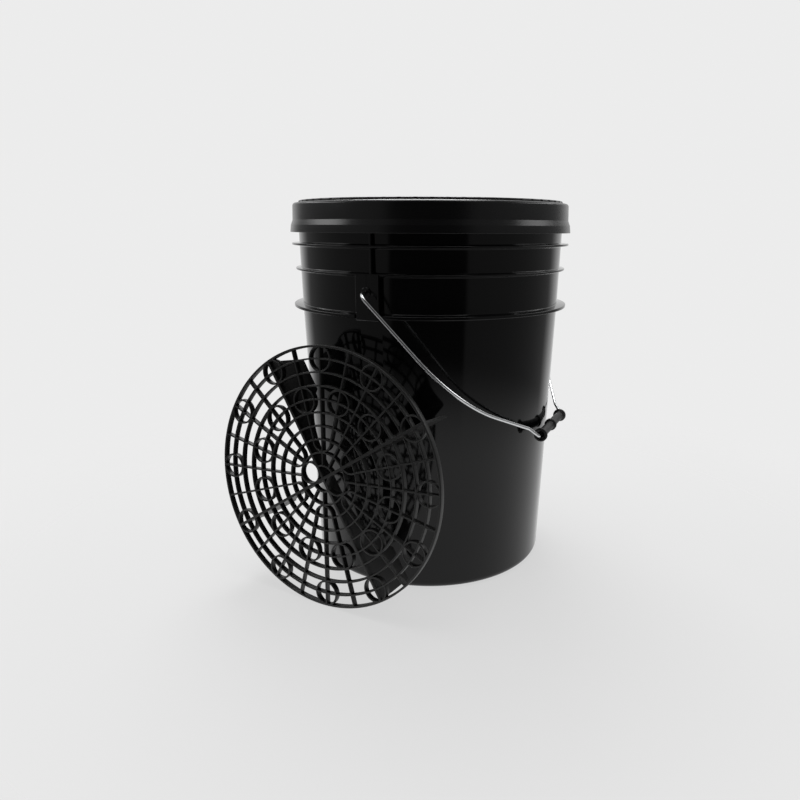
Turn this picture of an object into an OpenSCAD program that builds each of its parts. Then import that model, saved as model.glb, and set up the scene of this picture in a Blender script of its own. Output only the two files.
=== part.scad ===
// Wash bucket: a tapered plastic pail with a wire bail and plastic grip, a push-on lid ring with
// a screw-in lid, their two rubber seals, and a grille insert leaning on the pail's front wall.
// Millimetres. Origin at the centre of the pail's base, +Z up, ears on the Y axis, bail on +X.

/* [Pail] */
// outside radius of the wall, extended down to the floor plane
base_r = 131; // [110:1:150]
// outside radius of the wall at the lowest rib
wall_r = 142; // [120:0.5:160]
// height of the lowest rib's underside
rib3_z = 287; // [240:1:320]
// wall thickness
wall_t = 2.4; // [1.5:0.1:4]
// floor thickness
floor_t = 3; // [2:0.1:6]
// radius of the rounded edge at the base
base_round = 8; // [3:0.5:15]
// height of the pail's rim
rim_z = 383; // [340:1:400]
// outside radius of the rim bead
bead_r = 146.8; // [140:0.1:155]
// outside radii of the three wall ribs, lowest first
rib_r = [151.6, 148.5, 151.8];
// top heights of the three wall ribs, lowest first
rib_top = [290.5, 329, 355];
// thicknesses of the three wall ribs at their edge, lowest first
rib_t = [3, 1.9, 2.1];

/* [Ears] */
// height of the bail's pivot
ear_z = 312; // [290:1:330]
// width of each ear pad
ear_w = 25; // [14:1:30]
// outside radius of the ear pads
ear_r = 150.6; // [146:0.2:156]
// outside radius of the pivot boss
boss_r = 5; // [4:0.1:9]
// radial clearance of the wire in the ear bore
pivot_gap = 0.08; // [0.01:0.01:0.1]

/* [Bail] */
// radius of the bail wire
wire_r = 1.7; // [1.5:0.05:3.5]
// distance of the legs from the centre plane, at the pivot line
leg_s = 165.2; // [155:0.1:175]
// where the legs and the slopes beside the grip would meet, in the bail's plane
shoulder_at = [153.7, 137.2];
// the small outward jog just before each end of the grip, in the bail's plane
jog_at = [57, 197];
// distance from the pivot line to the grip
bail_l = 210; // [180:1:240]
// tilt of the hanging bail away from straight down
bail_tilt = 44; // [40:1:90]
// half distance between the two bends beside the grip
bend_s = 48.8; // [47:0.1:70]
// bend radius of the shoulders
shoulder_r = 120; // [30:1:200]

/* [Grip] */
// length of the grip
grip_l = 88; // [80:1:120]
// outside radius of the grip's tube
grip_r = 4.7; // [4:0.1:9]
// radius of the flange at each end of the grip
flange_r = 7.2; // [5.5:0.1:8.2]
// radius of the collar at the middle of the grip
collar_r = 6.6; // [6:0.1:8.2]
// radial clearance of the wire in the grip
grip_gap = 0.08; // [0.01:0.01:0.1]

/* [Lid] */
// radius of the lid ring's lower edge
skirt_r = 153; // [150:0.1:158]
// height of the lid ring's lower edge
skirt_z = 366; // [355:1:372]
// height of the lid ring's top
ring_z = 396; // [390:1:405]
// inside radius of the ring's threaded collar
collar_in = 139; // [130:0.1:140]
// height of the screw lid's rim
lid_z = 398.5; // [396:0.1:402]
// depth of the lid's well below its rim
well_d = 24; // [10:1:30]
// number of grip notches round the lid's rim
notches = 60; // [0:1:90]

/* [Insert] */
// outside radius of the insert
screen_r = 131.5; // [120:0.1:133]
// depth of the grille bars
bar_d = 6; // [3:0.5:10]
// width of the grille bars
bar_w = 1.7; // [1.2:0.1:3]
// thickness of the vanes
vane_t = 2.4; // [1.5:0.1:4]
// depth of the vanes below the grille's face
vane_d = 53.5; // [30:0.5:54]
// lean of the insert from upright
lean = 4.8; // [0:0.1:10]
// turn of the insert about the pail's axis, from facing straight ahead
screen_turn = -5.4; // [-20:0.1:20]
// place of the insert's centre on the floor plan
screen_at = [-35.1, -181.5];
// turn of the vanes in the insert's own plane
vane_turn = 33.3; // [0:0.1:90]

/* [Hidden] */
$fn = 96;
eps = 0.01;
seam = 0.2;
// offset of the upright web from the ear's centre line
web_x = 3.6;
top_slope = (144.6 - wall_r) / (rim_z - rib3_z);
pitch = screen_r / 10;
screen_z = screen_r * cos(lean) + bar_d * sin(lean);

// outside radius of the wall at height z
function wall(z) = z < rib3_z ? base_r + (wall_r - base_r) * z / rib3_z
                              : wall_r + (z - rib3_z) * top_slope;
// points on an arc in the profile plane
function arc(cx, cz, r, a0, a1, n) =
    [for (i = [0:n]) [cx + r * cos(a0 + (a1 - a0) * i / n), cz + r * sin(a0 + (a1 - a0) * i / n)]];
// the four points of wall rib i, from below
function rib(i) = [[wall(rib_top[i] - rib_t[i] - 0.8), rib_top[i] - rib_t[i] - 0.8],
                   [rib_r[i] - 0.4, rib_top[i] - rib_t[i]],
                   [rib_r[i], rib_top[i] - rib_t[i] + 0.4],
                   [rib_r[i], rib_top[i] - 0.4],
                   [rib_r[i] - 0.4, rib_top[i]],
                   [wall(rib_top[i] + 0.6), rib_top[i] + 0.6]];

module pail_body() {
    outer = concat([[0, 0], [12, 0], [13.5, 1.5], [111, 1.5], [112.5, 0]],
                   arc(wall(base_round) - base_round, base_round, base_round, -90, -2, 9),
                   rib(0), rib(1), rib(2),
                   [[wall(rim_z - 11.5), rim_z - 11.5], [bead_r, rim_z - 9],
                    [bead_r, rim_z - 1.4], [bead_r - 1.4, rim_z]]);
    inner = concat([[wall(rim_z) - wall_t + 0.5, rim_z], [wall(rim_z) - wall_t, rim_z - 0.5],
                    [wall(rib3_z) - wall_t, rib3_z]],
                   arc(wall(9) - wall_t - 6, 9, 6, -2, -90, 7),
                   [[0, floor_t]]);
    rotate_extrude() polygon(concat(outer, inner));
}

// one ear: a curved pad between two ribs, a round boss with a fin, and an upright web above
module ear_solid() {
    half = asin(ear_w / 2 / ear_r);
    rotate([0, 0, -90 - half])
        rotate_extrude(angle = 2 * half)
            polygon([[wall(ear_z) - 1, 285.6], [ear_r - 1.2, 284.6], [ear_r, 286],
                     [ear_r, 328.4], [wall(ear_z) - 1, 328.4]]);
    translate([0, -ear_r - 1.6, ear_z])
        rotate([-90, 0, 0]) cylinder(r = boss_r, h = 8);
    translate([-0.9, -ear_r - 0.6, ear_z])
        cube([1.8, 6, 16]);
    translate([web_x - 1.3, -148, 328])
        cube([2.6, 5.4, rim_z - 10 - 328]);
}

// a curved block round the front ear, between two radii and two heights
module ear_block(w, r0, r1, z0, z1) {
    half = asin(w / 2 / ear_r);
    rotate([0, 0, -90 - half])
        rotate_extrude(angle = 2 * half)
            polygon([[r0, z0], [r1, z0], [r1, z1], [r0, z1]]);
}

// what is taken out of the ear: the lowest rib's edge and the blind bore
module ear_cut() {
    ear_block(ear_w, ear_r, ear_r + 3, 280, 300);
    translate([0, -ear_r - 1.6 - eps, ear_z])
        rotate([-90, 0, 0]) cylinder(r = wire_r + pivot_gap, h = 8.2);
}

module pail() {
    color("#16171a")
    difference() {
        union() {
            pail_body();
            for (a = [0, 180])
                rotate([0, 0, a]) ear_solid();
        }
        for (a = [0, 180])
            rotate([0, 0, a]) ear_cut();
    }
}

// a straight piece of wire between two points of the bail's plane, with a seam at each end
module rod(p, q, r) {
    len = norm(q - p);
    ang = atan2(q[1] - p[1], q[0] - p[0]);
    translate([p[0], p[1], 0])
        rotate([0, 0, ang]) rotate([0, 90, 0]) {
            translate([0, 0, seam / 2]) cylinder(r = r, h = len - seam);
            for (z = [0, len])
                translate([0, 0, z - seam]) cylinder(r = r + 0.02, h = 2 * seam);
        }
}

// a bent piece of wire about centre c, bend radius b, from angle a0 over da degrees
module bend(c, b, a0, da, r) {
    translate([c[0], c[1], 0])
        rotate([0, 0, a0])
            rotate_extrude(angle = da) translate([b, 0]) circle(r = r);
}

// half of the bail's centre line, corner by corner, with the bend radius at each corner
wire_end = 144.9;
bail_at = [[wire_end, 0], [leg_s, 0], shoulder_at, jog_at, [bend_s, bail_l], [0, bail_l]];
bail_bend = [0, 10, shoulder_r, 6, 5, 0];
function heading(i) = atan2(bail_at[i + 1][1] - bail_at[i][1], bail_at[i + 1][0] - bail_at[i][0]);
function turn(i) = heading(i) - heading(i - 1);
function reach(i) = i == 0 ? 3.7 : bail_bend[i] * tan(abs(turn(i)) / 2);
function along(a) = [cos(a), sin(a)];

// half of the bail, drawn with the pivot line as x axis and the drop as y axis
module half_bail() {
    translate([wire_end, 0, 0]) rotate([0, 90, 0]) cylinder(r = wire_r, h = 4);
    for (i = [0:3])
        rod(bail_at[i] + reach(i) * along(heading(i)),
            bail_at[i + 1] - reach(i + 1) * along(heading(i)), wire_r);
    for (i = [1:4]) {
        way = turn(i) > 0 ? 1 : -1;
        from = way > 0 ? heading(i - 1) : heading(i);
        centre = bail_at[i] - reach(i) * along(heading(i - 1))
                 + way * bail_bend[i] * along(heading(i - 1) + 90);
        bend(centre, bail_bend[i], from - way * 90, abs(turn(i)), wire_r);
    }
}

// the bail's plane: x towards the front ear, y outwards and down at the bail's tilt
module in_bail_plane() {
    translate([0, 0, ear_z])
        rotate([0, 90 - bail_tilt, 0])
            rotate([0, 0, -90]) children();
}

module bail_wire() {
    color("#c9ccce")
    in_bail_plane() {
        half_bail();
        mirror([1, 0, 0]) half_bail();
        rod([reach(4) - bend_s, bail_l], [bend_s - reach(4), bail_l], wire_r);
    }
}

module bail_grip() {
    e = grip_l / 2;
    half = [[wire_r + grip_gap, e - 9], [3.4, e - 9], [3.5, e - 2.6], [5.2, e - 2.2], [5.3, e],
            [flange_r - 0.5, e], [flange_r, e - 0.5], [flange_r, e - 2.6], [grip_r, e - 4.6],
            [grip_r, 2.8], [collar_r - 0.4, 1.8], [collar_r, 1.3]];
    other = [for (i = [len(half) - 1:-1:0]) [half[i][0], -half[i][1]]];
    color("#1b1c1e")
    in_bail_plane()
        translate([0, bail_l, 0]) rotate([0, 90, 0])
            rotate_extrude() polygon(concat(half, other));
}

module lid_ring() {
    color("#1d1e20")
    rotate_extrude()
        polygon(concat([[skirt_r, skirt_z], [skirt_r - 0.9, 373.4], [150.2, 378.6],
                        [149.7, 392.4]],
                       arc(146.3, 392.6, 3.4, 0, 90, 6),
                       [[144, ring_z], [144, 389], [collar_in, 389], [collar_in, 364],
                        [141.2, 364], [141.2, 386.7], [147.4, 386.7], [147.4, 379.2],
                        [149.6, 373.4], [skirt_r - 2.4, skirt_z]]));
}

module ring_gasket() {
    color("#0e0f10")
    rotate_extrude() polygon([[142.4, 383.4], [145.9, 383.4], [145.9, 386.7], [142.4, 386.7]]);
}

// the lid's dish with a hand well; the cross bar is added to it
module lid_dish() {
    well_z = lid_z - well_d;
    rotate_extrude()
        polygon([[0, well_z], [124, well_z], [128, well_z + 1.2], [133.2, lid_z - 1.2],
                 [134.4, lid_z], [142.2, lid_z], [143.4, lid_z - 1.2], [143.4, 391.9],
                 [138.3, 391.9], [138.3, well_z - 6], [135.9, well_z - 6],
                 [135.9, well_z - 1.2], [125.5, well_z - 2.6], [0, well_z - 2.6]]);
}

module screw_lid() {
    color("#1d1e20")
    difference() {
        union() {
            lid_dish();
            for (a = [45, 135])
                rotate([0, 0, a]) translate([-128.5, -11, lid_z - well_d - 1]) cube([257, 22, 17]);
        }
        for (a = [45, 135])
            rotate([0, 0, a]) translate([-122, -8.4, lid_z - well_d - 8]) cube([244, 16.8, 21.4]);
        for (i = [0:notches - 1])
            rotate([0, 0, i * 360 / notches]) translate([142.6, -1.6, lid_z - 1.5]) cube([3, 3.2, 3]);
    }
}

module lid_seal() {
    color("#0e0f10")
    rotate_extrude() polygon([[139.5, 389.3], [143.4, 389.3], [143.4, 391.6], [139.5, 391.6]]);
}

// a flat ring of the grille, drawn in its plane
module hoop(r, w) {
    difference() {
        circle(r = r + w / 2);
        circle(r = r - w / 2);
    }
}

// a straight bar of the grille at angle a, from radius r0 to radius r1
module spoke(a, r0, r1, w) {
    rotate(a) translate([r0, -w / 2]) square([r1 - r0, w]);
}

finger_at = 16;
finger_r = 9.9;

// the grille seen from the front: rim, rings, spokes, loops and the two finger collars
module grille_flat() {
    difference() {
        union() {
            hoop(screen_r - 1.1, 2.2);
            for (k = [1:9])
                hoop(k * pitch, bar_w);
            for (i = [0:11])
                spoke(vane_turn + 30 * i, pitch, screen_r - 1, bar_w);
            for (i = [0:11])
                spoke(vane_turn + 15 + 30 * i, 3 * pitch - 0.6, screen_r - 1, bar_w);
            for (i = [0:3])
                spoke(vane_turn + 90 * i, 0, screen_r - 1, 2.8);
            for (i = [0:11])
                rotate(vane_turn + 30 * i) translate([9 * pitch, 0]) hoop(12, bar_w);
            for (i = [0:11])
                rotate(vane_turn + 15 + 30 * i) translate([6 * pitch, 0]) hoop(12.4, bar_w);
            for (i = [0:5])
                rotate(vane_turn + 60 * i)
                    intersection() {
                        translate([37.6, 0]) hoop(10.2, bar_w);
                        translate([20, -15]) square([18.4, 30]);
                    }
            for (m = [0, 180])
                rotate(vane_turn - 45 + m) translate([finger_at, 0]) circle(r = finger_r + 1.6);
        }
        for (m = [0, 180])
            rotate(vane_turn - 45 + m) translate([finger_at, 0]) circle(r = finger_r);
    }
}

// one vane: shallow at the middle, full depth from radius 92 outwards
module vane() {
    rise = vane_d - 17;
    ar = (72 * 72 + rise * rise) / (2 * rise);
    rotate([90, 0, 0]) translate([0, 0, -vane_t / 2])
        linear_extrude(vane_t)
            polygon(concat([[-1, -1]], [[130, -1], [129.8, -bar_d], [127.9, -vane_d + 3]],
                           arc(124.9, -vane_d + 3, 3, 0, -90, 4),
                           [for (i = [0:10])
                               [20 + ar * sin(asin(72 / ar) * (10 - i) / 10),
                                -17 - ar + ar * cos(asin(72 / ar) * (10 - i) / 10)]],
                           [[-1, -17]]));
}

module dirt_screen() {
    color("#1c1d1f")
    translate([screen_at[0], screen_at[1], screen_z])
        rotate([90 - lean, 0, screen_turn])
            union() {
                translate([0, 0, -bar_d]) linear_extrude(bar_d) grille_flat();
                difference() {
                    for (i = [0:3])
                        rotate([0, 0, vane_turn + 90 * i]) vane();
                    for (m = [0, 180])
                        rotate([0, 0, vane_turn - 45 + m]) translate([finger_at, 0, -70])
                            cylinder(r = finger_r + 0.5, h = 80);
                }
            }
}

pail();
bail_wire();
bail_grip();
lid_ring();
ring_gasket();
screw_lid();
lid_seal();
dirt_screen();
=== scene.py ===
"""Looks of the wash bucket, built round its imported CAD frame.

Metres, in the frame's axes: +Z up the pail, ears on the Y axis, the bail hanging on +X and the
grille insert leaning on the -Y side. The visible mouldings are rebuilt here with rounded edges
at the CAD's own sizes; the two hidden rubber rings are the CAD's own nodes.
"""

import math

import bmesh
import bpy
from mathutils import Matrix, Vector


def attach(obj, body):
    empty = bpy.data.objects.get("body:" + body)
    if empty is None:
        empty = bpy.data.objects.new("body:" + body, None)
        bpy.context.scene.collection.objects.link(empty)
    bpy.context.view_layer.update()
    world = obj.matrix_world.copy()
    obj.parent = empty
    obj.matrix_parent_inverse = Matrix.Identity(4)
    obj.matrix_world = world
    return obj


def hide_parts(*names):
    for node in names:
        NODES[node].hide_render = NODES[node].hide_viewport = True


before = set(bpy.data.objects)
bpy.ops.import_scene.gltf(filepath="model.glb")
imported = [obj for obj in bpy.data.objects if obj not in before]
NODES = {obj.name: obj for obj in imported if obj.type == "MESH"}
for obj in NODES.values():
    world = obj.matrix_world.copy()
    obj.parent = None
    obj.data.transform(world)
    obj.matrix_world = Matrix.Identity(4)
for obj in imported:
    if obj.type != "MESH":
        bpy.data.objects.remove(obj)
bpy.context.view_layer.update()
MM = 0.001
TAU = 2 * math.pi


# ---------------------------------------------------------------- mesh helpers

def fillet(corners, steps=4, closed=True):
    """Points of a profile whose corners (x, y, radius) are rounded off."""
    out = []
    count = len(corners)
    for i, (x, y, radius) in enumerate(corners):
        here = Vector((x, y))
        if radius == 0 or (not closed and i in (0, count - 1)):
            out.append(here)
            continue
        back = Vector(corners[i - 1][:2]) - here
        ahead = Vector(corners[(i + 1) % count][:2]) - here
        half = back.angle(ahead) / 2
        reach = min(radius / math.tan(half), 0.49 * back.length, 0.49 * ahead.length)
        real = reach * math.tan(half)
        inwards = (back.normalized() + ahead.normalized()).normalized()
        middle = here + inwards * (real / math.sin(half))
        start = here + back.normalized() * reach - middle
        end = here + ahead.normalized() * reach - middle
        a0 = math.atan2(start.y, start.x)
        turn = (math.atan2(end.y, end.x) - a0 + math.pi) % TAU - math.pi
        for k in range(steps + 1):
            a = a0 + turn * k / steps
            out.append(middle + real * Vector((math.cos(a), math.sin(a))))
    return out


def linked(name, data):
    """A new object of the scene that holds the given mesh, light or camera."""
    obj = bpy.data.objects.new(name, data)
    bpy.context.scene.collection.objects.link(obj)
    return obj


def shaded(name, mesh, smooth_angle):
    """A new object with smooth faces and sharp edges above an angle, in degrees."""
    mesh.polygons.foreach_set("use_smooth", [True] * len(mesh.polygons))
    mesh.set_sharp_from_angle(angle=math.radians(smooth_angle))
    return linked(name, mesh)


def mesh_object(name, bm):
    """A new object from a bmesh, which is freed."""
    bmesh.ops.recalc_face_normals(bm, faces=bm.faces)
    mesh = bpy.data.meshes.new(name)
    bm.to_mesh(mesh)
    bm.free()
    return shaded(name, mesh, 35)


def lathe(name, profile, angles, shape=None, closed_turn=True, place=None, weld=False):
    """Turns a closed profile (r, z) about Z through the given angles.

    shape may move each point, place is a matrix applied after the turning, and weld joins the
    points that meet on the axis.
    """
    bm = bmesh.new()
    rows = []
    for a in angles:
        row = []
        for r, z in profile:
            rr, zz = shape(r, z, a) if shape else (r, z)
            co = Vector((rr * math.cos(a), rr * math.sin(a), zz))
            row.append(bm.verts.new(place @ co if place else co))
        rows.append(row)
    n, m = len(rows), len(profile)
    for i in range(n if closed_turn else n - 1):
        one, two = rows[i], rows[(i + 1) % n]
        for j in range(m):
            k = (j + 1) % m
            bm.faces.new((one[j], one[k], two[k], two[j]))
    if not closed_turn:
        bm.faces.new(rows[0])
        bm.faces.new(list(reversed(rows[-1])))
    if weld:
        bmesh.ops.remove_doubles(bm, verts=bm.verts, dist=0.02 * MM)
    return mesh_object(name, bm)


def even(count, start=0.0, turn=TAU):
    """Evenly spaced angles of a full or part turn."""
    if abs(turn - TAU) < 1e-9:
        return [start + turn * i / count for i in range(count)]
    return [start + turn * i / count for i in range(count + 1)]


def prism(bm, near, far):
    """The closed solid between two matching outlines."""
    near, far = [[bm.verts.new(p) for p in outline] for outline in (near, far)]
    m = len(near)
    for j in range(m):
        k = (j + 1) % m
        bm.faces.new((near[j], near[k], far[k], far[j]))
    bm.faces.new(near)
    bm.faces.new(list(reversed(far)))


def plate(name, outline, thickness, place, edge):
    """A flat plate with the given outline (x, z), bevelled all round, standing on local y."""
    bm = bmesh.new()
    front = [bm.verts.new(place @ Vector((p[0], -thickness / 2, p[1]))) for p in outline]
    back = [bm.verts.new(place @ Vector((p[0], thickness / 2, p[1]))) for p in outline]
    faces = [bm.faces.new(front), bm.faces.new(list(reversed(back)))]
    for i in range(len(outline)):
        k = (i + 1) % len(outline)
        bm.faces.new((front[i], back[i], back[k], front[k]))
    edges = [e for f in faces for e in f.edges]
    bmesh.ops.bevel(bm, geom=edges, offset=edge, segments=2, profile=0.6, affect="EDGES")
    return mesh_object(name, bm)


def unite(name, first, others, smooth_angle, cutters=()):
    """One closed mesh from overlapping closed meshes, less the cutters."""
    for other, how in [(o, "UNION") for o in others] + [(o, "DIFFERENCE") for o in cutters]:
        mod = first.modifiers.new("join", "BOOLEAN")
        mod.operation = how
        mod.solver = "MANIFOLD"
        mod.object = other
    bpy.context.view_layer.update()
    graph = bpy.context.evaluated_depsgraph_get()
    mesh = bpy.data.meshes.new_from_object(first.evaluated_get(graph))
    for o in [first] + list(others) + list(cutters):
        bpy.data.objects.remove(o)
    mesh.name = name
    return shaded(name, mesh, smooth_angle)


# ---------------------------------------------------------------- materials

def add_node(tree, kind, inputs=(), **settings):
    """A new shader node; each input takes a value or another node's output socket."""
    made = tree.nodes.new(kind)
    for key, value in settings.items():
        setattr(made, key, value)
    for key, value in dict(inputs).items():
        if hasattr(value, "links"):
            tree.links.new(value, made.inputs[key])
        else:
            made.inputs[key].default_value = value
    return made


class Shader:
    """A node material with a Principled shader, and the few nodes its patterns need."""

    def __init__(self, name, **values):
        self.mat = bpy.data.materials.new(name)
        self.mat.use_nodes = True
        self.tree = self.mat.node_tree
        self.bsdf = self.tree.nodes["Principled BSDF"]
        for key, value in values.items():
            self.bsdf.inputs[key.replace("_", " ")].default_value = value
        self.coord = self.tree.nodes.new("ShaderNodeTexCoord").outputs["Object"]
        self.bumps = None

    def node(self, kind, inputs=(), **settings):
        return add_node(self.tree, kind, inputs, **settings)

    def stretched(self, scale):
        return self.node("ShaderNodeMapping", {"Vector": self.coord, "Scale": scale}).outputs[0]

    def noise(self, scale, detail, rough, vector=None):
        made = self.node("ShaderNodeTexNoise", {"Vector": vector or self.coord, "Scale": scale,
                                                "Detail": detail, "Roughness": rough})
        return made.outputs[0]

    def remap(self, value, low, high, to_low, to_high):
        return self.node("ShaderNodeMapRange", {"Value": value, "From Min": low, "From Max": high,
                                                "To Min": to_low, "To Max": to_high}).outputs[0]

    def math(self, how, a, b):
        return self.node("ShaderNodeMath", {0: a, 1: b}, operation=how).outputs[0]

    def blend(self, factor, a, b):
        made = self.node("ShaderNodeMix", {0: factor}, data_type="RGBA")
        for socket, value in ((6, a), (7, b)):
            if hasattr(value, "links"):
                self.tree.links.new(value, made.inputs[socket])
            else:
                made.inputs[socket].default_value = (*value, 1)
        return made.outputs[2]

    def bump(self, height, strength, distance):
        inputs = {"Height": height, "Strength": strength, "Distance": distance}
        if self.bumps is not None:
            inputs["Normal"] = self.bumps
        self.bumps = self.node("ShaderNodeBump", inputs).outputs[0]

    def link(self, value, socket):
        self.tree.links.new(value, self.bsdf.inputs[socket])

    def done(self):
        if self.bumps is not None:
            self.link(self.bumps, "Normal")
        return self.mat


def gloss_black():
    """Injection-moulded black polyethylene: deep gloss, faint flow marks and fine scuffs."""
    s = Shader("pail_gloss_black", IOR=1.5, Specular_IOR_Level=0.32)
    flow = s.noise(9, 4, 0.55, s.stretched((1, 1, 0.35)))
    fine = s.noise(260, 3, 0.6)
    scuff = s.noise(120, 2, 0.5, s.stretched((1.0, 1.0, 0.06)))
    marks = s.remap(scuff, 0.66, 0.74, 0, 1)
    s.link(s.blend(s.remap(flow, 0.35, 0.7, 0, 1), (0.0016, 0.0016, 0.0018),
                   (0.0028, 0.0028, 0.0030)), "Base Color")
    rough = s.math("ADD", s.remap(flow, 0.3, 0.75, 0.07, 0.12), s.math("MULTIPLY", marks, 0.05))
    s.link(rough, "Roughness")
    s.bump(fine, 0.12, 0.00006)
    s.bump(flow, 0.25, 0.0006)
    return s.done()


def satin_black(name, base, low, high, grain=900):
    """Satin moulded plastic: a fine spark-eroded grain over a slow change of sheen."""
    s = Shader(name, IOR=1.49)
    slow = s.noise(14, 3, 0.5)
    tint = s.noise(60, 4, 0.6)
    pits = s.noise(grain, 2, 0.6)
    dark = tuple(c * 0.8 for c in base)
    s.link(s.blend(s.remap(tint, 0.3, 0.7, 0, 1), dark, base), "Base Color")
    s.link(s.remap(slow, 0.3, 0.7, low, high), "Roughness")
    s.bump(pits, 0.25, 0.00006)
    s.bump(slow, 0.12, 0.0003)
    return s.done()


def zinc_wire():
    """Bright zinc-coated wire: drawing lines along it and a faint frosty mottle."""
    s = Shader("wire_zinc", Metallic=1.0)
    mottle = s.noise(420, 3, 0.6)
    lines = s.noise(1500, 2, 0.5, s.stretched((1, 0.05, 1)))
    s.link(s.blend(s.remap(mottle, 0.3, 0.7, 0, 1), (0.66, 0.67, 0.68), (0.80, 0.81, 0.82)),
           "Base Color")
    s.link(s.remap(mottle, 0.3, 0.7, 0.14, 0.26), "Roughness")
    s.bump(lines, 0.12, 0.00005)
    return s.done()


def seal_rubber():
    """Soft black rubber with a dusty bloom."""
    s = Shader("seal_rubber", IOR=1.45)
    bloom = s.noise(300, 4, 0.6)
    s.link(s.blend(s.remap(bloom, 0.4, 0.7, 0, 1), (0.008, 0.008, 0.008), (0.02, 0.02, 0.02)),
           "Base Color")
    s.link(s.remap(bloom, 0.3, 0.7, 0.6, 0.8), "Roughness")
    s.bump(bloom, 0.2, 0.0001)
    return s.done()


GLOSS = gloss_black()
LID_SATIN = satin_black("lid_satin_black", (0.005, 0.005, 0.0054), 0.22, 0.29)
GRIP_SATIN = satin_black("grip_satin_black", (0.012, 0.012, 0.0125), 0.42, 0.55, 1200)
SCREEN_SATIN = satin_black("screen_satin_black", (0.012, 0.0118, 0.0115), 0.36, 0.50, 1100)
ZINC = zinc_wire()
RUBBER = seal_rubber()


def finish_piece(obj, body, material, slot, *replaced):
    obj.data.materials.clear()
    obj.data.materials.append(material)
    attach(obj, body)
    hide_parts(*replaced)


# ---------------------------------------------------------------- pail

# all sizes from here to the camera are in mm, as in the CAD
BASE_R, WALL_R, RIM_WALL_R = 131.0, 142.0, 144.6
RIB3_Z, RIM_Z, WALL_T, BASE_T = 287.0, 383.0, 2.4, 3
RIBS = [(151.6, 290.5, 3.0), (148.5, 329.0, 1.9), (151.8, 355.0, 2.1)]  # radius, top, thickness
EAR_Z, EAR_W, EAR_R = 312.0, 25.0, 150.6
EAR_FOOT, EAR_TOP, EAR_BACK_R = 284.8, 328.2, 141.0
BOSS_R, BOSS_ROOT, BOSS_END = 5.0, 144.5, 152.2
WIRE_R, BORE_GAP, BORE_FLOOR, HOLLOW_R = 1.7, 0.08, 144.9, 3.4
WEB_X, WEB_T, WEB_FOOT, WEB_TOP = 3.6, 2.6, 327.5, 373


def wall(z):
    """Outside radius of the pail's wall at height z, in mm."""
    if z < RIB3_Z:
        return BASE_R + (WALL_R - BASE_R) * z / RIB3_Z
    return WALL_R + (z - RIB3_Z) * (RIM_WALL_R - WALL_R) / (RIM_Z - RIB3_Z)


def rib_corners(radius, top, thick):
    """One rib of the profile, from the wall out and back to the wall."""
    low = top - thick
    return [(wall(low - 0.8), low - 0.8, 1.1), (radius - 0.05, low, 0.7),
            (radius, top, 0.7), (wall(top + 0.6), top + 0.6, 1.1)]


def pail_profile():
    outer = [(0.001, 0, 0), (12, 0, 0.5), (13.5, 1.5, 0.5), (111, 1.5, 0.5), (112.5, 0, 0.5),
             (wall(0), 0, 8.2)]
    for rib in RIBS:
        outer += rib_corners(*rib)
    outer += [(wall(371.5), 371.5, 0.8), (146.8, 374, 1.0), (146.8, RIM_Z, 1.6)]
    inner = [(RIM_WALL_R - WALL_T, RIM_Z, 0.8), (wall(RIB3_Z) - WALL_T, RIB3_Z, 0),
             (wall(BASE_T) - WALL_T, BASE_T, 6), (0.001, BASE_T, 0)]
    return fillet(outer + inner, 5)


def near_ear(a):
    """Signed distance along the wall, in mm, from the centre line of the nearer ear."""
    off = (a + math.pi / 2) % math.pi
    off = off - math.pi if off > math.pi / 2 else off
    return off * EAR_R


def pail_angles():
    """A full turn in degrees, with extra pairs where the lowest rib stops at the ears."""
    angles = even(360)
    half = EAR_W / 2 / EAR_R
    for centre in (-math.pi / 2, math.pi / 2):
        for side in (-1, 1):
            angles += [centre + side * (half - 0.0008), centre + side * (half + 0.0008)]
    return sorted(a % TAU for a in angles)


def pail_shape(r, z, a):
    """The lowest rib stops at the ear pads."""
    if 285 < z < 292.5 and abs(near_ear(a)) < EAR_W / 2:
        r = min(r, EAR_R - 0.6)
    return r * MM, z * MM


def polar(r, u, z, sign):
    """A point r from the pail's axis, u round from the ear's centre line, at height z."""
    a = math.atan2(-sign, 0) + u / EAR_R
    return Vector((r * math.cos(a), r * math.sin(a), z)) * MM


def ramp(d, width):
    """A smooth step from 0 to 1 over the given width."""
    t = max(0.0, min(1.0, d / width))
    return t * t * (3 - 2 * t)


def ear_height(u, z):
    """Radius of the ear pad's face: rounded edges, a fin above the boss and a hollow under it."""
    if math.hypot(u, z - EAR_Z) < HOLLOW_R:
        return BORE_FLOOR
    edge = min(EAR_W / 2 - abs(u), z - EAR_FOOT)
    r = EAR_R - 1.2 * (1 - ramp(edge, 1.3))
    if z > EAR_Z:
        r += 0.55 * (1 - ramp(abs(u) - 0.5, 0.5))
    return r


def ear_pad(sign):
    """One curved ear pad, as a closed height-field block."""
    bm = bmesh.new()
    us = [EAR_W / 2 * (i / 40 - 1) for i in range(81)]
    zs = [EAR_FOOT + (EAR_TOP - EAR_FOOT) * j / 120 for j in range(121)]
    front = [[bm.verts.new(polar(ear_height(u, z), u, z, sign)) for u in us] for z in zs]
    rear = [[bm.verts.new(polar(EAR_BACK_R, u, z, sign)) for u in us] for z in zs]
    for j in range(len(zs) - 1):
        for i in range(len(us) - 1):
            bm.faces.new((front[j][i], front[j][i + 1], front[j + 1][i + 1], front[j + 1][i]))
            bm.faces.new((rear[j][i], rear[j + 1][i], rear[j + 1][i + 1], rear[j][i + 1]))
    rims = [(front[0], rear[0]), (front[-1], rear[-1]),
            ([row[0] for row in front], [row[0] for row in rear]),
            ([row[-1] for row in front], [row[-1] for row in rear])]
    for f, r in rims:
        for i in range(len(f) - 1):
            bm.faces.new((f[i], f[i + 1], r[i + 1], r[i]))
    return mesh_object("ear_pad", bm)


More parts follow.
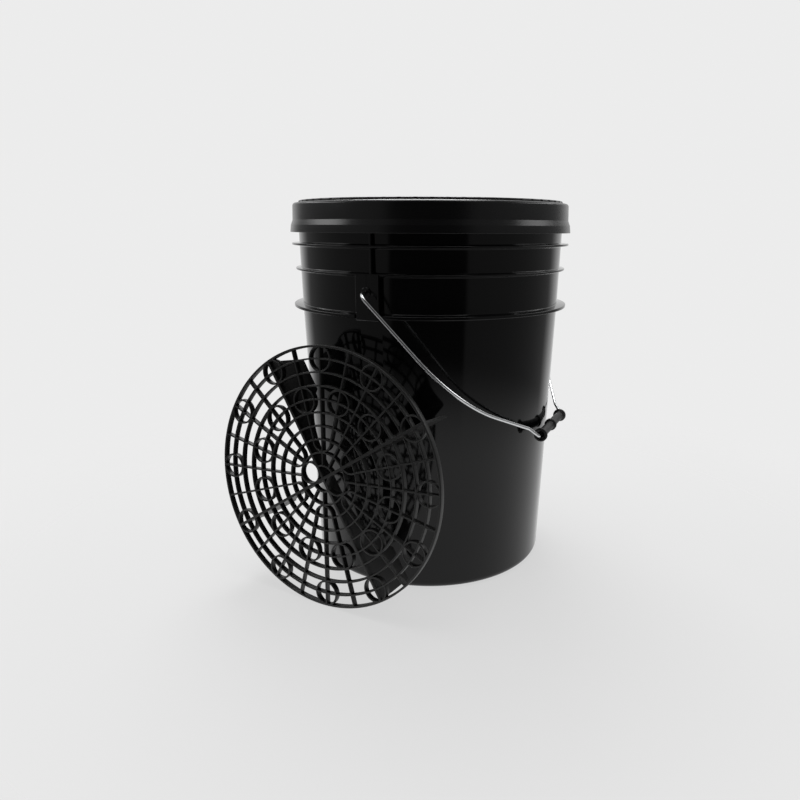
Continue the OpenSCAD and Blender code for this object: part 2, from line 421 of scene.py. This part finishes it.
def ear_boss(sign):
    """The round boss with its blind bore, turned about the pivot line."""
    bore = WIRE_R + BORE_GAP
    profile = fillet([(bore, BOSS_ROOT, 0), (bore, BOSS_END, 0.5), (BOSS_R, BOSS_END, 0.8),
                      (BOSS_R, BOSS_ROOT, 0)], 4)
    place = (Matrix.Translation((0, 0, EAR_Z * MM))
             @ Matrix.Rotation(math.radians(90 * sign), 4, "X"))
    return lathe("ear_boss", [(p.x * MM, p.y * MM) for p in profile], even(48), place=place)


def ear_web(sign):
    """The upright web between the ear and the lid's skirt."""
    outline = [(-148.0, WEB_FOOT), (-142.5, WEB_FOOT), (-142.5, WEB_TOP), (-148.0, WEB_TOP)]
    place = (Matrix.Rotation(0 if sign > 0 else math.pi, 4, "Z")
             @ Matrix.Rotation(math.pi / 2, 4, "Z") @ Matrix.Translation((0, -WEB_X * MM, 0)))
    return plate("ear_web", [(x * MM, z * MM) for x, z in outline], WEB_T * MM, place, 0.5 * MM)


shell = lathe("pail_shell", pail_profile(), pail_angles(), pail_shape, weld=True)
ears = [make(sign) for sign in (1, -1) for make in (ear_pad, ear_boss, ear_web)]
pail = unite("pail_moulding", shell, ears, 30)
finish_piece(pail, "pail", GLOSS, "pail_plastic", "pail")


# ---------------------------------------------------------------- bail

BAIL_TILT, BAIL_L = 44.0, 210.0
# half of the bail's centre line: s, t and bend radius of each corner
BAIL_AT = [(BORE_FLOOR, 0, 0), (165.1, 0, 10), (153.7, 137.2, 120), (57, 197, 6),
           (48.8, BAIL_L, 5), (0, BAIL_L, 0)]


def in_bail(s, t, off=0.0):
    """A point of the bail's plane: s towards the front ear, t outwards and down, off across."""
    tilt = math.radians(BAIL_TILT)
    out = Vector((math.sin(tilt), 0, -math.cos(tilt)))
    across = Vector((math.cos(tilt), 0, math.sin(tilt)))
    return (Vector((0, -s, EAR_Z)) + out * t + across * off) * MM


def bail_path():
    """The whole centre line, from ear to ear, with points about 6 mm apart on straight runs."""
    half = fillet(BAIL_AT, 14, closed=False)
    fine = []
    for a, b in zip(half, half[1:]):
        n = max(1, int((b - a).length / 6))
        fine += [a.lerp(b, k / n) for k in range(n)]
    return fine + [Vector((-p.x, p.y)) for p in [half[-1]] + fine[::-1]]


def sweep(name, path, radius, sides=20):
    """A round wire along a path in the bail's plane, with slightly rounded ends."""
    bm = bmesh.new()
    rings = []
    last = len(path) - 1
    for i, p in enumerate(path):
        along = (path[min(i + 1, last)] - path[max(i - 1, 0)]).normalized()
        side = Vector((-along.y, along.x))
        ring = []
        for a in even(sides):
            q = p + side * (radius * math.cos(a))
            ring.append(bm.verts.new(in_bail(q.x, q.y, radius * math.sin(a))))
        rings.append(ring)
    for one, two in zip(rings, rings[1:]):
        for k in range(sides):
            j = (k + 1) % sides
            bm.faces.new((one[k], one[j], two[j], two[k]))
    caps = [bm.faces.new(rings[0]), bm.faces.new(list(reversed(rings[-1])))]
    bmesh.ops.bevel(bm, geom=[e for f in caps for e in f.edges], offset=0.4 * MM, segments=2,
                    profile=0.6, affect="EDGES")
    return mesh_object(name, bm)


wire = sweep("bail_wire_bent", bail_path(), WIRE_R)
finish_piece(wire, "bail", ZINC, "wire_steel", "bail_wire")

GRIP_L, GRIP_R, FLANGE_R, COLLAR_R = 88.0, 4.7, 7.2, 6.6


def grip_profile():
    """The grip's wall: a counterbored end, a flange, the tube and the middle collar."""
    e = GRIP_L / 2
    half = [(WIRE_R + BORE_GAP, e - 9, 0), (3.4, e - 9, 0.3), (3.5, e - 2.6, 0.3),
            (5.2, e - 2.2, 0.3), (5.3, e, 0.4), (FLANGE_R, e, 0.8), (FLANGE_R, e - 2.6, 0.7),
            (GRIP_R, e - 4.6, 0.9), (GRIP_R, 2.8, 0.7), (COLLAR_R, 1.5, 0.6)]
    return fillet(half + [(r, -z, f) for r, z, f in reversed(half)], 4)


grip_place = Matrix.Translation(in_bail(0, BAIL_L)) @ Matrix.Rotation(math.pi / 2, 4, "X")
grip = lathe("bail_grip_tube", [(p.x * MM, p.y * MM) for p in grip_profile()], even(64),
             place=grip_place)
finish_piece(grip, "grip", GRIP_SATIN, "grip_plastic", "bail_grip")


# ---------------------------------------------------------------- lid ring and screw lid

ring_corners = [(153.0, 366.0, 0.5), (152.1, 373.4, 0.35), (150.2, 378.6, 0.6),
                (149.7, 396.0, 3.3), (144.0, 396.0, 0.5), (144.0, 389.0, 0.3),
                (139.0, 389.0, 0.4), (139.0, 364.0, 0.6), (141.2, 364.0, 0.6),
                (141.2, 386.7, 0.4), (147.4, 386.7, 0.4), (147.4, 379.2, 0.4),
                (149.6, 373.4, 0.4), (150.6, 366.0, 0.5)]
ring = lathe("lid_ring_moulding", [p * MM for p in fillet(ring_corners, 5)], even(360))
finish_piece(ring, "ring", LID_SATIN, "lid_plastic", "lid_ring")

LID_Z, WELL_D, NOTCHES = 398.5, 24.0, 60
NOTCH_HALF = 0.12  # half of a notch's width, as a share of the notches' spacing


def lid_shape(r, z, a):
    """Finger notches round the rim's upper edge."""
    phase = (a * NOTCHES / TAU + 0.5) % 1.0 - 0.5
    if r > 142.5 and z > LID_Z - 2.0 and abs(phase) < NOTCH_HALF:
        r, z = min(r, 142.7), min(z, LID_Z - 0.1)
    return r * MM, z * MM


def lid_angles():
    """A full turn with the angles gathered at each notch's two sides."""
    side = (NOTCH_HALF - 0.01, NOTCH_HALF + 0.01)
    parts = (-0.5, -0.3, -side[1], -side[0], 0.0, *side, 0.3)
    return [(i + part) * TAU / NOTCHES for i in range(NOTCHES) for part in parts]


well_z = LID_Z - WELL_D
lid_corners = [(0.001, well_z, 0), (127, well_z, 4), (134.0, LID_Z, 1.4), (143.4, LID_Z, 1.2),
               (143.4, 391.9, 0.3), (138.3, 391.9, 0.4), (138.3, well_z - 6, 0.5),
               (135.9, well_z - 6, 0.5), (135.9, well_z - 2.6, 1.5), (0.001, well_z - 2.6, 0)]
dish = lathe("lid_dish", fillet(lid_corners, 5), lid_angles(), lid_shape, weld=True)


def cross_bar(turn, half_len, half_w, low, high, edge, lean=0.0):
    """A raised bar across the lid's well, rounded along its top."""
    bm = bmesh.new()
    section = fillet([(-half_w - lean, low, 0), (half_w + lean, low, 0), (half_w, high, edge),
                      (-half_w, high, edge)], 5)
    prism(bm, *[[Vector((x, p.x, p.y)) * MM for p in section] for x in (-half_len, half_len)])
    bmesh.ops.rotate(bm, verts=bm.verts, cent=(0, 0, 0),
                     matrix=Matrix.Rotation(math.radians(turn), 3, "Z"))
    return mesh_object("cross_bar", bm)


bars = [cross_bar(a, 128.6, 10.4, well_z - 1, well_z + 16, 2.5, 0.6) for a in (45, 135)]
hollows = [cross_bar(a, 122, 8.0, well_z - 8, well_z + 13.4, 1.0) for a in (45, 135)]
lid = unite("screw_lid_moulding", dish, bars, 30, hollows)
finish_piece(lid, "lid", LID_SATIN, "lid_plastic", "screw_lid")

for node in ("ring_gasket", "lid_seal"):
    NODES[node].data.materials.clear()
    NODES[node].data.materials.append(RUBBER)


# ---------------------------------------------------------------- grille insert

SCREEN_R, RIM_W, BAR_D, BAR_W, MAIN_W = 131.5, 2.2, 6.0, 1.7, 2.8
VANE_T, VANE_D, ARCH_TOP, ARCH_HALF, ARCH_X = 2.4, 53.5, 17, 72, 20
LEAN, SCREEN_TURN, VANE_TURN = 4.8, -5.4, 33.3
SCREEN_AT = (-35.1, -181.5)
PITCH = SCREEN_R / 10
screen_z = SCREEN_R * math.cos(math.radians(LEAN)) + BAR_D * math.sin(math.radians(LEAN))
SCREEN_PLACE = (Matrix.Translation((SCREEN_AT[0] * MM, SCREEN_AT[1] * MM, screen_z * MM))
                @ Matrix.Rotation(math.radians(SCREEN_TURN), 4, "Z")
                @ Matrix.Rotation(math.radians(90 - LEAN), 4, "X"))
FINGER_AT, FINGER_R, FINGER_W = 16.0, 9.9, 1.6
LOOP_R, MID_LOOP_R, ARC_R, ARC_AT = 12, 12.4, 10.2, 37.6


def spin(degrees, x=0.0):
    """The insert's frame turned about its own axis and moved out along the turned x."""
    return (SCREEN_PLACE @ Matrix.Rotation(math.radians(degrees), 4, "Z")
            @ Matrix.Translation((x * MM, 0, 0)))


def hoop(radius, width, place, segments, low=-BAR_D, start=0.0, turn=TAU):
    """A ring of the grille, or part of one, with rounded edges and its top at z = 0."""
    corners = [(radius - width / 2, 0, 0.5), (radius - width / 2, low, 0.3),
               (radius + width / 2, low, 0.3), (radius + width / 2, 0, 0.5)]
    return lathe("hoop", [p * MM for p in fillet(corners, 3)], even(segments, start, turn),
                 closed_turn=abs(turn - TAU) < 1e-9, place=place)


def spoke(place, start, end, width):
    """A straight bar along the turned x, with rounded edges and its top at z = 0."""
    bm = bmesh.new()
    place = place @ Matrix.Translation((start * MM, 0, 0))
    length, half, depth, edge = (end - start) * MM, width * MM / 2, BAR_D * MM, 0.5 * MM
    section = fillet([(-half, 0, edge), (-half, -depth, edge * 0.6), (half, -depth, edge * 0.6),
                      (half, 0, edge)], 3)
    prism(bm, *[[place @ Vector((x, p.x, p.y)) for p in section] for x in (0, length)])
    return mesh_object("spoke", bm)


def vane_outline():
    """Half of a crossed vane: the full depth at its tip, arched away towards the middle."""
    rise = VANE_D - ARCH_TOP
    arch_r = (ARCH_HALF * ARCH_HALF + rise * rise) / (2 * rise)
    sweep_a = math.asin(ARCH_HALF / arch_r)
    tip = [(129.6, -1, 0), (129.6, -BAR_D, 0), (127.9, -VANE_D, 3),
           (ARCH_X + ARCH_HALF, -VANE_D, 0)]
    points = [tuple(p) for p in fillet([(0, -1, 0)] + tip, 5, closed=False)][1:]
    for i in range(1, 13):
        a = sweep_a * (12 - i) / 12
        points.append((ARCH_X + arch_r * math.sin(a),
                       -ARCH_TOP - arch_r + arch_r * math.cos(a)))
    return points + [(0, -ARCH_TOP), (0, -1)]


parts = []
for k in range(1, 10):
    parts.append(hoop(k * PITCH, BAR_W, SCREEN_PLACE, 48 + 16 * k))
for i in range(12):
    main = VANE_TURN + 30 * i
    parts.append(spoke(spin(main), PITCH, SCREEN_R - 1, MAIN_W if i % 3 == 0 else BAR_W))
    parts.append(spoke(spin(main + 15), 3 * PITCH - 0.6, SCREEN_R - 1, BAR_W))
    parts.append(hoop(LOOP_R, BAR_W, spin(main, 9 * PITCH), 48))
    parts.append(hoop(MID_LOOP_R, BAR_W, spin(main + 15, 6 * PITCH), 48))
for i in range(6):
    parts.append(hoop(ARC_R, BAR_W, spin(VANE_TURN + 60 * i, ARC_AT), 24,
                      start=math.pi / 2, turn=math.pi))
for quarter in (0, 90):
    parts.append(spoke(spin(VANE_TURN + quarter), -PITCH, PITCH, MAIN_W))
vane = [(x * MM, z * MM) for x, z in vane_outline()]
for i in range(4):
    parts.append(plate("vane", vane, VANE_T * MM, spin(VANE_TURN + 90 * i), 0.4 * MM))
collars, holes = [], []
for half_turn in (0, 180):
    place = spin(VANE_TURN - 45 + half_turn, FINGER_AT)
    collars.append(hoop(FINGER_R + FINGER_W / 2, FINGER_W, place, 64, low=-BAR_D - 0.6))
    bm = bmesh.new()
    hole_r = (FINGER_R + 0.2) * MM
    bmesh.ops.create_cone(bm, cap_ends=True, segments=64, radius1=hole_r, radius2=hole_r,
                          depth=130 * MM, matrix=place)
    holes.append(mesh_object("finger_hole", bm))
rim = hoop(SCREEN_R - RIM_W / 2, RIM_W, SCREEN_PLACE, 256)
grille = unite("grille_body", rim, parts, 32, holes)
screen = unite("dirt_screen_moulding", grille, collars, 32)
finish_piece(screen, "insert", SCREEN_SATIN, "screen_plastic", "dirt_screen")


# ---------------------------------------------------------------- camera, floor and light

CAMERA_AZIMUTH = 23.5  # degrees
CAMERA_BACK, CAMERA_UP = 0.7813, 0.3718  # metres from the pail's axis and above the floor
CAMERA_DOWN, CAMERA_ROLL = 0.2479, 0.0048  # radians
BACKDROP = 0.84
FLOOR_ALBEDO, FLOOR_GLOW = 0.165, 0.605
FADE_START, FADE_END = 0.34, 0.72  # metres from the pail's axis

turned = Matrix.Rotation(math.radians(CAMERA_AZIMUTH), 3, "Z")
cam_data = bpy.data.cameras.new("camera")
cam_data.sensor_width = 36
cam_data.lens = 30.654
cam_data.shift_x, cam_data.shift_y = -0.03696, -0.00075
cam_data.clip_start, cam_data.clip_end = 0.05, 50
cam = linked("camera", cam_data)
cam.matrix_world = (Matrix.Translation(turned @ Vector((0, -CAMERA_BACK, CAMERA_UP)))
                    @ turned.to_4x4()
                    @ Matrix.Rotation(math.radians(90) - CAMERA_DOWN, 4, "X")
                    @ Matrix.Rotation(CAMERA_ROLL, 4, "Z"))
bpy.context.scene.camera = cam


def floor_material():
    """Pale paper table, softly lit from within its own shade, that fades out at its edge."""
    s = Shader("floor_paper", Roughness=0.95, Specular_IOR_Level=0.0,
               Base_Color=(FLOOR_ALBEDO, FLOOR_ALBEDO, FLOOR_ALBEDO, 1),
               Emission_Color=(1, 1, 1, 1), Emission_Strength=FLOOR_GLOW)
    gap = s.node("ShaderNodeVectorMath", {0: s.coord}, operation="LENGTH").outputs["Value"]
    fade = s.node("ShaderNodeMapRange", {"Value": gap, "From Min": FADE_START,
                                         "From Max": FADE_END, "To Min": 1.0, "To Max": 0.0},
                  interpolation_type="SMOOTHSTEP").outputs[0]
    s.link(fade, "Alpha")
    return s.done()


bm = bmesh.new()
bmesh.ops.create_circle(bm, cap_ends=True, segments=96, radius=1.0)
floor = mesh_object("floor", bm)
floor.data.materials.append(floor_material())


def softbox(name, azimuth, elevation, distance, width, height, power):
    """A rectangular area light aimed at the object; azimuth is measured from the camera's side."""
    data = bpy.data.lights.new(name, "AREA")
    data.shape = "RECTANGLE"
    data.size, data.size_y, data.energy = width, height, power
    a = math.radians(azimuth + CAMERA_AZIMUTH)
    e = math.radians(elevation)
    away = Vector((math.sin(a) * math.cos(e), -math.cos(a) * math.cos(e), math.sin(e)))
    target = Vector((0, 0, 0.2))
    linked(name, data).matrix_world = (Matrix.Translation(target + away * distance)
                                       @ away.to_track_quat("Z", "Y").to_matrix().to_4x4())


softbox("key_softbox", -172, 62, 1.7, 0.9, 0.9, 24)
softbox("left_softbox", -100, 31, 1.7, 1.4, 0.35, 5)
softbox("right_softbox", 102, 31, 1.7, 1.3, 0.35, 3.5)
softbox("overhead_softbox", 0, 86, 1.5, 1.1, 0.8, 10)

world = bpy.data.worlds.new("studio")
bpy.context.scene.world = world
world.use_nodes = True
tree = world.node_tree
tree.nodes.clear()


def world_node(kind, inputs=(), **settings):
    return add_node(tree, kind, inputs, **settings)


# the studio round the object: dim behind the camera, grey at the sides, white at the back
facing = turned @ Vector((-0.031, -1, 0)).normalized()
direction = world_node("ShaderNodeTexCoord").outputs["Generated"]
flat = world_node("ShaderNodeVectorMath", {0: direction, 1: (1, 1, 0)}, operation="MULTIPLY")
unit = world_node("ShaderNodeVectorMath", {0: flat.outputs[0]}, operation="NORMALIZE")
towards = world_node("ShaderNodeVectorMath", {0: unit.outputs[0], 1: facing},
                     operation="DOT_PRODUCT")
spread = world_node("ShaderNodeMapRange", {"Value": towards.outputs["Value"], "From Min": -1.0,
                                           "From Max": 1.0})
stops = [(0.0, BACKDROP), (0.10, 0.78), (0.19, 0.24), (0.915, 0.18), (0.925, 0.03),
         (1.0, 0.025)]
levels = world_node("ShaderNodeValToRGB", {"Fac": spread.outputs[0]})
for position, level in stops[1:-1]:
    levels.color_ramp.elements.new(position)
for element, (position, level) in zip(levels.color_ramp.elements, stops):
    element.position = position
    element.color = (level, level, level, 1)
seen = world_node("ShaderNodeBackground", {"Color": (BACKDROP, BACKDROP, BACKDROP, 1)})
cast = world_node("ShaderNodeBackground", {"Color": levels.outputs[0]})
path = world_node("ShaderNodeLightPath")
both = world_node("ShaderNodeMixShader", {0: path.outputs["Is Camera Ray"], 1: cast.outputs[0],
                                          2: seen.outputs[0]})
world_node("ShaderNodeOutputWorld", {"Surface": both.outputs[0]})
bpy.context.scene.view_settings.view_transform = "Standard"
